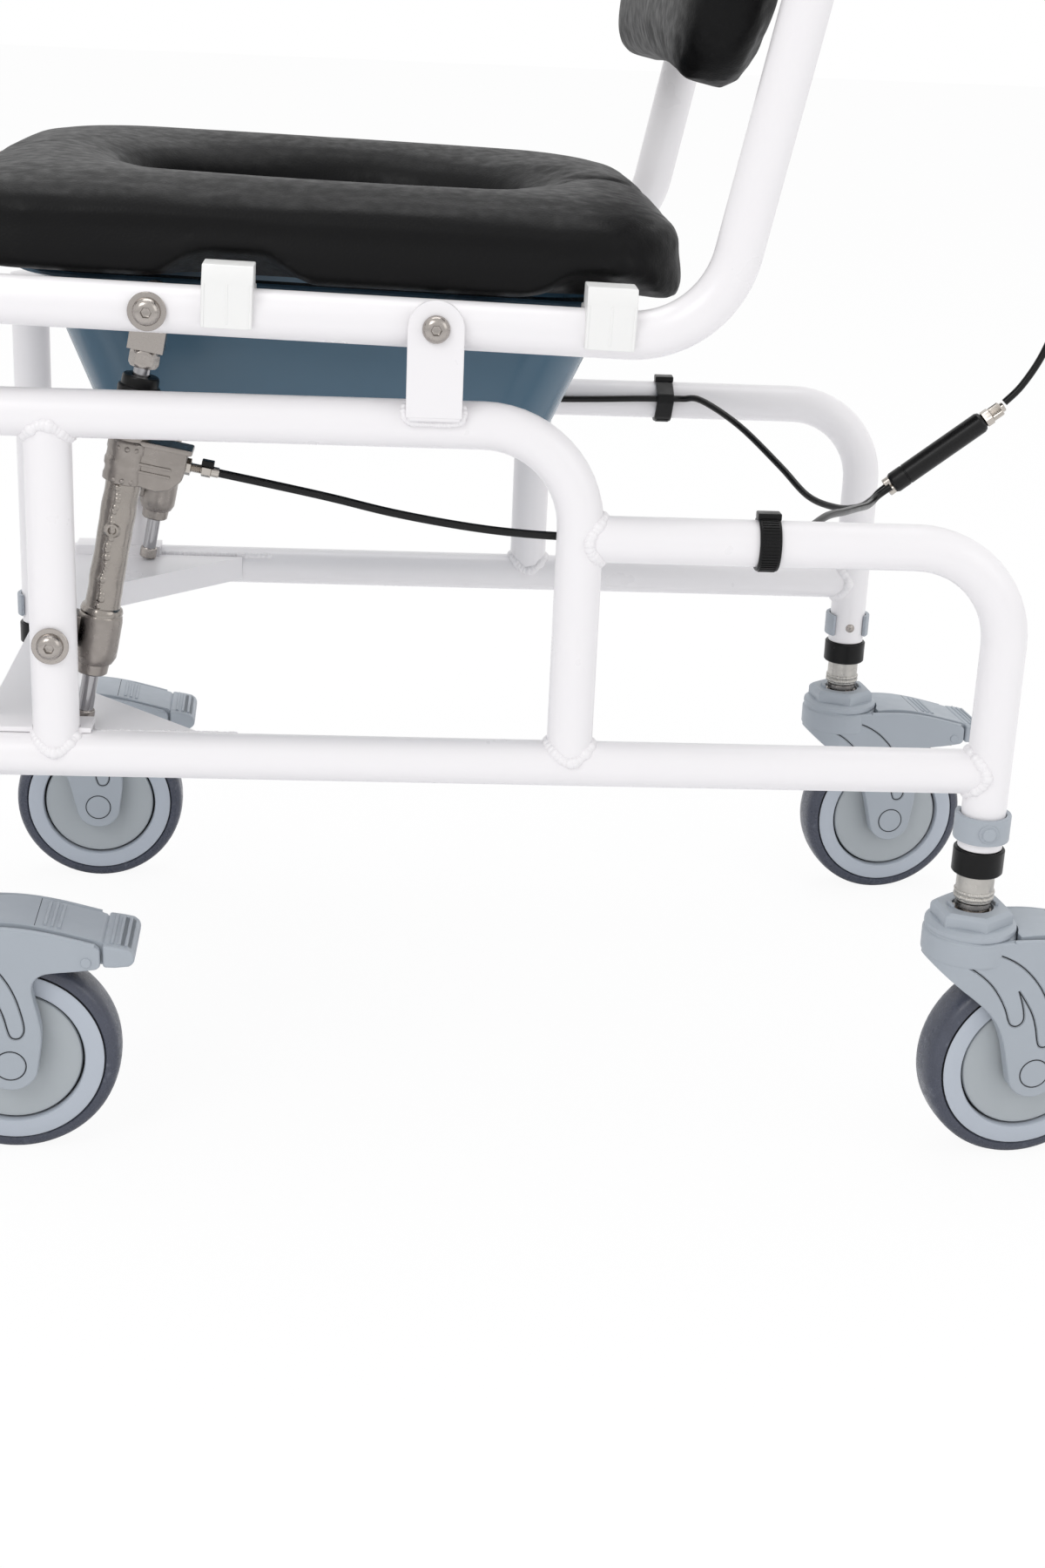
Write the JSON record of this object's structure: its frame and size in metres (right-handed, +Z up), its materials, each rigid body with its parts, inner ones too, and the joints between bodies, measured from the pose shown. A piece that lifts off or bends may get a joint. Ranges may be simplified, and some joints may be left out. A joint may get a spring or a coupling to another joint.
{
  "type": "shower commode chair",
  "caption": "Tilting shower commode chair: tube base on braked swivel castors, seat with open pad over a sliding pan, locking struts, lift-up arms, folding footplate.",
  "frame": {"origin": "middle of the chair's box, on the floor", "axes": "+Z up, -X the way the sitter faces, +Y the sitter's right side, across the chair"},
  "size_m": [1.1092, 0.589, 1.0438],
  "materials": {
    "white_paint": "gloss white powder coat",
    "white_plastic": "satin white plastic",
    "castor_grey": "satin grey plastic",
    "grey_clip": "satin grey plastic",
    "wheel_tyre": "slate rubber tread round a grey hub",
    "black_rubber": "satin black",
    "black_foam": "skinned black polyurethane foam",
    "steel": "stainless",
    "cast_metal": "satin cast metal",
    "pan_blue": "gloss blue-grey plastic"
  },
  "bodies": {
    "base": {"left_base_side": "white_paint", "left_pivot_bolt": "steel", "left_strut_bolt": "steel", "left_release_cable": "black_rubber", "left_cable_strap": "black_rubber", "right_base_side": "white_paint", "right_pivot_bolt": "steel", "right_strut_bolt": "steel", "right_release_cable": "black_rubber", "right_cable_strap": "black_rubber", "front_cross_plate": "white_paint", "cable_splitter": "black_rubber", "lever_cable": "black_rubber", "left_front_stem": "steel", "left_front_leg_bush": "black_rubber", "left_front_leg_clip": "grey_clip", "right_front_stem": "steel", "right_front_leg_bush": "black_rubber", "right_front_leg_clip": "grey_clip", "left_rear_stem": "steel", "left_rear_leg_bush": "black_rubber", "left_rear_leg_clip": "grey_clip", "right_rear_stem": "steel", "right_rear_leg_bush": "black_rubber", "right_rear_leg_clip": "grey_clip"},
    "left_front_castor": {"left_front_fork": "castor_grey"},
    "left_front_wheel_body": {"left_front_wheel": "wheel_tyre"},
    "left_front_brake": {"left_front_pedal": "castor_grey"},
    "right_front_castor": {"right_front_fork": "castor_grey"},
    "right_front_wheel_body": {"right_front_wheel": "wheel_tyre"},
    "right_front_brake": {"right_front_pedal": "castor_grey"},
    "left_rear_castor": {"left_rear_fork": "castor_grey"},
    "left_rear_wheel_body": {"left_rear_wheel": "wheel_tyre"},
    "left_rear_brake": {"left_rear_pedal": "castor_grey"},
    "right_rear_castor": {"right_rear_fork": "castor_grey"},
    "right_rear_wheel_body": {"right_rear_wheel": "wheel_tyre"},
    "right_rear_brake": {"right_rear_pedal": "castor_grey"},
    "seat": {"left_seat_side": "white_paint", "right_seat_side": "white_paint", "left_strut_top_bolt": "steel", "right_strut_top_bolt": "steel", "left_front_seat_clip": "white_plastic", "left_rear_seat_clip": "white_plastic", "right_front_seat_clip": "white_plastic", "right_rear_seat_clip": "white_plastic", "back_frame": "white_paint", "front_cross_tube": "white_paint", "seat_pad": "black_foam", "back_pad": "black_foam"},
    "left_strut": {"left_strut_body": "cast_metal"},
    "left_rod": {"left_strut_rod": "steel"},
    "right_strut": {"right_strut_body": "cast_metal"},
    "right_rod": {"right_strut_rod": "steel"},
    "left_arm": {"left_armrest": "white_paint", "left_arm_pad": "black_foam"},
    "right_arm": {"right_armrest": "white_paint", "right_arm_pad": "black_foam"},
    "pan": {"commode_pan": "pan_blue"},
    "footrest": {"footplate": "castor_grey"},
    "lever": {"release_lever": "black_rubber"}
  },
  "joints": [
    {"name": "left_front_swivel", "type": "hinge", "parent": "base", "child": "left_front_castor", "pos_m": [-0.22206, -0.225, 0.16], "axis": [0, 0, 1], "continuous": true},
    {"name": "left_front_wheel_spin", "type": "hinge", "parent": "left_front_castor", "child": "left_front_wheel_body", "pos_m": [-0.17807, -0.224, 0.06643], "axis": [-0.0227, 0.9997, 0], "continuous": true},
    {"name": "left_front_brake_press", "type": "hinge", "parent": "left_front_castor", "child": "left_front_brake", "pos_m": [-0.13109, -0.22293, 0.1407], "axis": [-0.0227, 0.9997, 0], "range_deg": [0, 10]},
    {"name": "right_front_swivel", "type": "hinge", "parent": "base", "child": "right_front_castor", "pos_m": [-0.22206, 0.225, 0.16], "axis": [0, 0, 1], "continuous": true},
    {"name": "right_front_wheel_spin", "type": "hinge", "parent": "right_front_castor", "child": "right_front_wheel_body", "pos_m": [-0.1781, 0.22677, 0.06643], "axis": [-0.0401, 0.9992, 0], "continuous": true},
    {"name": "right_front_brake_press", "type": "hinge", "parent": "right_front_castor", "child": "right_front_brake", "pos_m": [-0.13114, 0.22865, 0.1407], "axis": [-0.0401, 0.9992, 0], "range_deg": [0, 10]},
    {"name": "left_rear_swivel", "type": "hinge", "parent": "base", "child": "left_rear_castor", "pos_m": [0.42894, -0.225, 0.16], "axis": [0, 0, 1], "continuous": true},
    {"name": "left_rear_wheel_spin", "type": "hinge", "parent": "left_rear_castor", "child": "left_rear_wheel_body", "pos_m": [0.47245, -0.2185, 0.06643], "axis": [-0.1478, 0.989, 0], "continuous": true},
    {"name": "left_rear_brake_press", "type": "hinge", "parent": "left_rear_castor", "child": "left_rear_brake", "pos_m": [0.51894, -0.21155, 0.1407], "axis": [-0.1478, 0.989, 0], "range_deg": [0, 10]},
    {"name": "right_rear_swivel", "type": "hinge", "parent": "base", "child": "right_rear_castor", "pos_m": [0.42894, 0.225, 0.16], "axis": [0, 0, 1], "continuous": true},
    {"name": "right_rear_wheel_spin", "type": "hinge", "parent": "right_rear_castor", "child": "right_rear_wheel_body", "pos_m": [0.47258, 0.23059, 0.06643], "axis": [-0.1271, 0.9919, 0], "continuous": true},
    {"name": "right_rear_brake_press", "type": "hinge", "parent": "right_rear_castor", "child": "right_rear_brake", "pos_m": [0.5192, 0.23656, 0.1407], "axis": [-0.1271, 0.9919, 0], "range_deg": [0, 10]},
    {"name": "seat_tilt", "type": "hinge", "parent": "base", "child": "seat", "pos_m": [0.07634, 0, 0.5318], "axis": [0, 1, 0], "range_deg": [0, 25], "deforming": ["lever_cable"]},
    {"name": "left_strut_swing", "type": "hinge", "parent": "base", "child": "left_strut", "pos_m": [-0.14606, -0.1975, 0.338], "axis": [0, 1, 0], "range_deg": [0, 0.3], "deforming": ["left_release_cable"]},
    {"name": "left_strut_slide", "type": "slide", "parent": "left_strut", "child": "left_rod", "axis": [0.1808, 0, 0.9835], "range_m": [0, 0.0712]},
    {"name": "right_strut_swing", "type": "hinge", "parent": "base", "child": "right_strut", "pos_m": [-0.14606, 0.1975, 0.338], "axis": [0, 1, 0], "range_deg": [0, 0.3], "deforming": ["right_release_cable"]},
    {"name": "right_strut_slide", "type": "slide", "parent": "right_strut", "child": "right_rod", "axis": [0.1808, 0, 0.9835], "range_m": [0, 0.0712]},
    {"name": "left_arm_lift", "type": "hinge", "parent": "seat", "child": "left_arm", "pos_m": [0.29266, -0.2685, 0.79776], "axis": [0, 1, 0], "range_deg": [0, 100]},
    {"name": "right_arm_lift", "type": "hinge", "parent": "seat", "child": "right_arm", "pos_m": [0.29266, 0.2685, 0.79776], "axis": [0, 1, 0], "range_deg": [0, 100]},
    {"name": "pan_slide", "type": "slide", "parent": "seat", "child": "pan", "axis": [0.9997, 0, -0.0244], "range_m": [0, 0.15]},
    {"name": "footplate_fold", "type": "hinge", "parent": "seat", "child": "footrest", "pos_m": [-0.37335, 0, 0.18168], "axis": [0, 1, 0], "range_deg": [0, 90]},
    {"name": "lever_pull", "type": "hinge", "parent": "seat", "child": "lever", "pos_m": [0.45415, 0.062, 0.9873], "axis": [0.9997, 0, -0.0244], "range_deg": [0, 9]}
  ],
  "couplings": [
    {"joint": "left_strut_swing", "follows": "seat_tilt", "ratio": 0.0115},
    {"joint": "left_strut_slide", "follows": "seat_tilt", "m_per_rad": 0.16187},
    {"joint": "right_strut_swing", "follows": "seat_tilt", "ratio": 0.0115},
    {"joint": "right_strut_slide", "follows": "seat_tilt", "m_per_rad": 0.16187}
  ]
}
